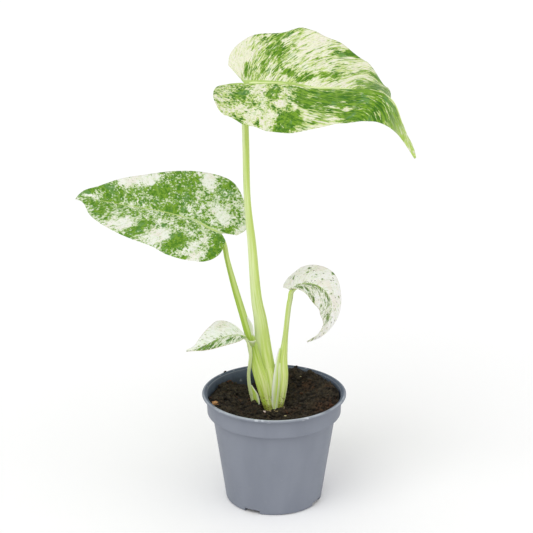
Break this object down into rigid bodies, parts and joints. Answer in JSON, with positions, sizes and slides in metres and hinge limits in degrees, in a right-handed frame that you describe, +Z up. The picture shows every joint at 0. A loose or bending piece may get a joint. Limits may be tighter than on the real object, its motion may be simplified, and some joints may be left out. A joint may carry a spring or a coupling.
{
  "type": "potted monstera plant",
  "caption": "Young variegated monstera in a tapered nursery pot: heart-shaped leaves on long stalks rising from potting mix.",
  "frame": {"origin": "centre of the flat disc under the pot, on the surface the pot stands on", "axes": "+Z up; the front, which looks along +Y, shows the left and low leaves at -X and the arched leaf at +X"},
  "size_m": [0.274, 0.127, 0.3932],
  "materials": {
    "pot": "grey thermoformed polypropylene, satin",
    "potting_mix": null,
    "root": "pale tan root and short stem",
    "tall_stalk": "pale lime living tissue with a paler streak, smooth",
    "left_stalk": "green living tissue with darker streaks, smooth",
    "right_stalk": "light green living tissue, smooth",
    "low_stalk": "pale cream-green living tissue, smooth",
    "tall_blade": "leaf, half cream and half green with streaks along the veins, satin",
    "left_blade": "leaf, mosaic of white, mint and green patches, satin",
    "right_blade": "leaf, nearly white with green streaks along the veins, satin",
    "low_blade": "small leaf, nearly white with green streaks, satin",
    "bark": "orange-brown bark, rough",
    "grain": "pale porous mineral grain, rough; stands in as wood"
  },
  "bodies": {
    "root": {"nursery_pot": "pot", "potting_mix": "potting_mix", "root_crown": "root", "tall_stalk": "tall_stalk", "left_stalk": "left_stalk", "right_stalk": "right_stalk", "low_stalk": "low_stalk", "tall_blade": "tall_blade", "left_blade": "left_blade", "right_blade": "right_blade", "low_blade": "low_blade", "bark_chip": "bark", "pale_grain": "grain"}
  },
  "joints": []
}
